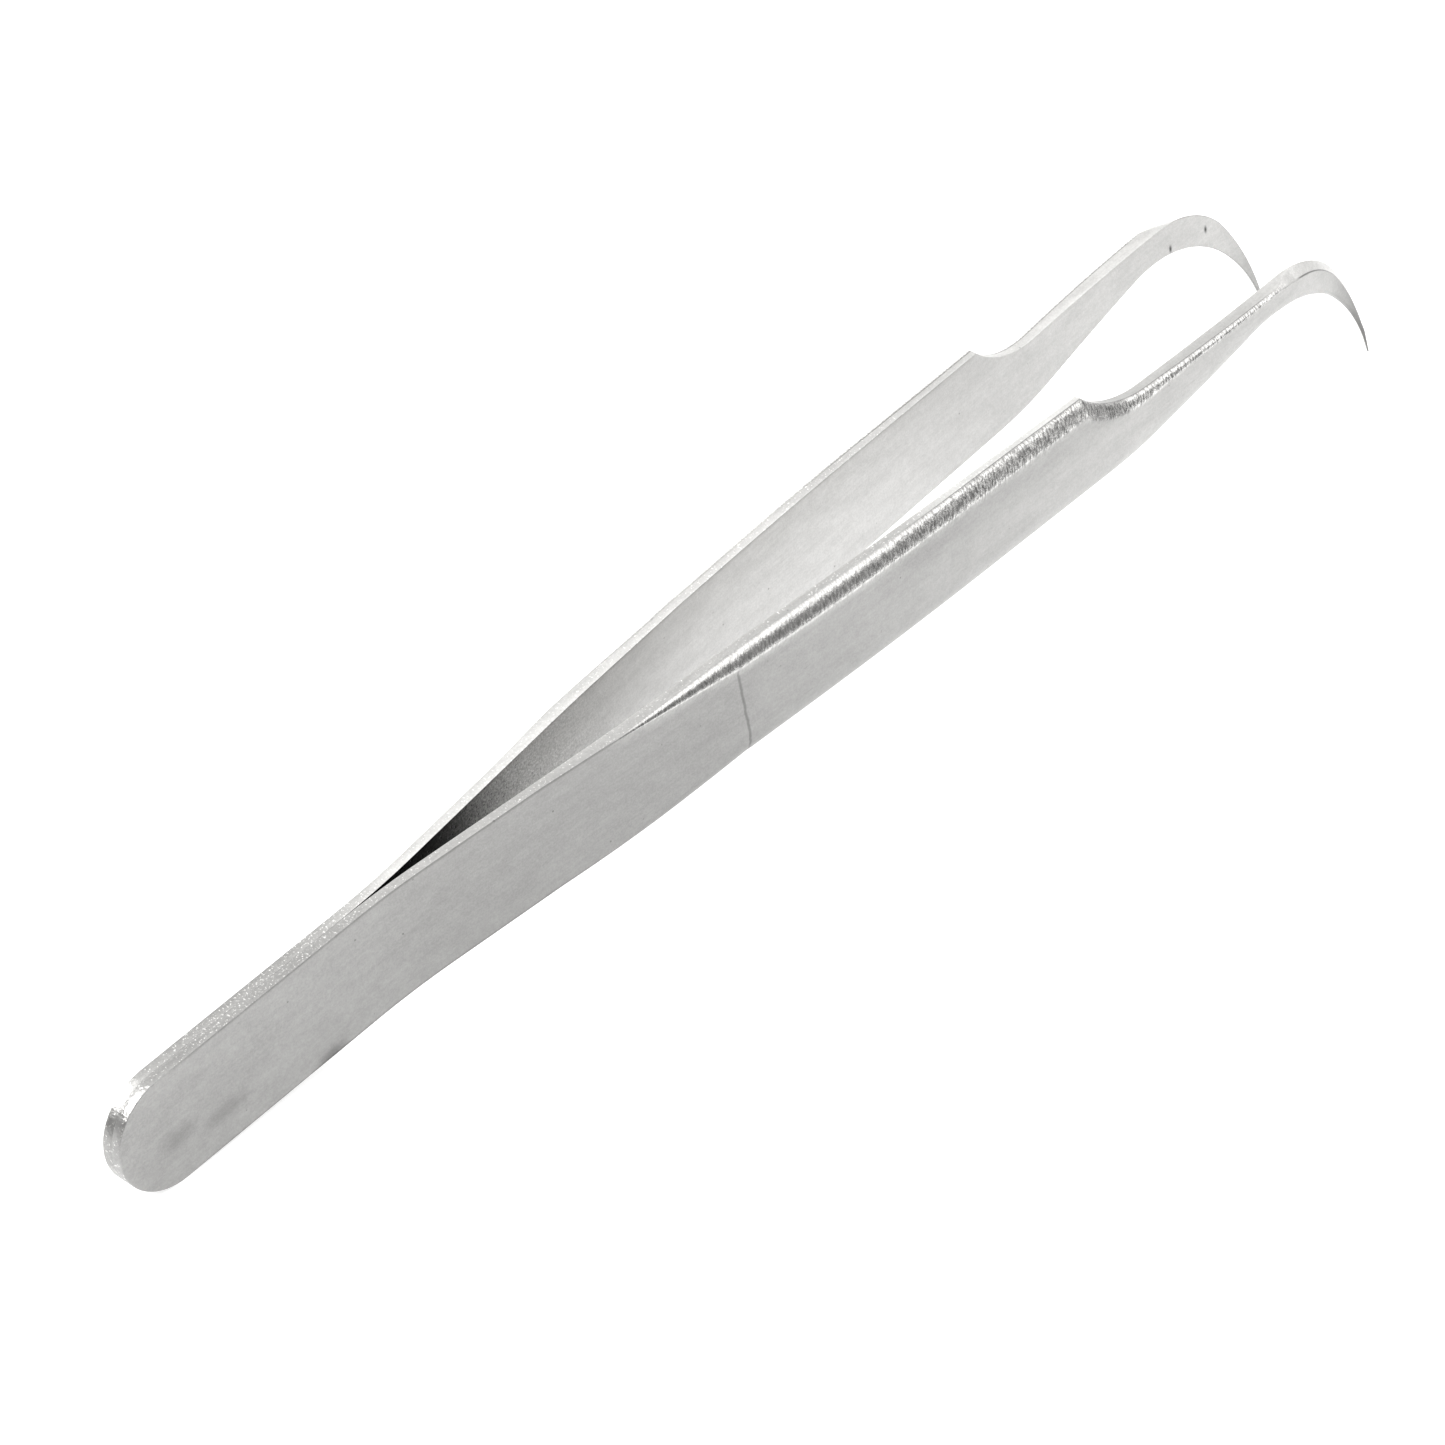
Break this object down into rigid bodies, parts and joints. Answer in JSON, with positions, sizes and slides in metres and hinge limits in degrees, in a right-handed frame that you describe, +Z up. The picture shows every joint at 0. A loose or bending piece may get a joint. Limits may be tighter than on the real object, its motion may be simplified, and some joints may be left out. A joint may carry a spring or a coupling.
{
  "type": "curved-tip spring tweezers",
  "caption": "Stainless spring tweezers: two flexing leaves welded at the heel, with notched necks and needle tips curved down.",
  "frame": {"origin": "middle of the footprint on the surface that the tweezers lie on, resting on the heel's round lower edge and on both needle points", "axes": "+X from the heel towards the tips, +Y across the opening from the front leaf to the back leaf, +Z up; the tips point down"},
  "size_m": [0.1156, 0.0128, 0.0135],
  "materials": {
    "leaf_steel": "satin, fine lengthwise grain, polished edges",
    "weld_steel": "dull fused metal"
  },
  "bodies": {
    "heel": {"front_leaf_heel": "leaf_steel", "back_leaf_heel": "leaf_steel", "rear_spot_weld": "weld_steel", "front_spot_weld": "weld_steel"},
    "front_arm": {"front_leaf_arm": "leaf_steel"},
    "back_arm": {"back_leaf_arm": "leaf_steel"}
  },
  "joints": [
    {"name": "front_flex", "type": "hinge", "parent": "heel", "child": "front_arm", "pos_m": [-0.02387, -0.00108, 0.00634], "axis": [-0.072, 0, 0.9974], "range_deg": [0, 3.29], "stiffness_Nm_per_rad": 1.5},
    {"name": "back_flex", "type": "hinge", "parent": "heel", "child": "back_arm", "pos_m": [-0.02387, 0.00108, 0.00634], "axis": [0.072, 0, -0.9974], "range_deg": [0, 3.29], "stiffness_Nm_per_rad": 1.5}
  ],
  "couplings": [
    {"joint": "back_flex", "follows": "front_flex", "ratio": 1}
  ]
}
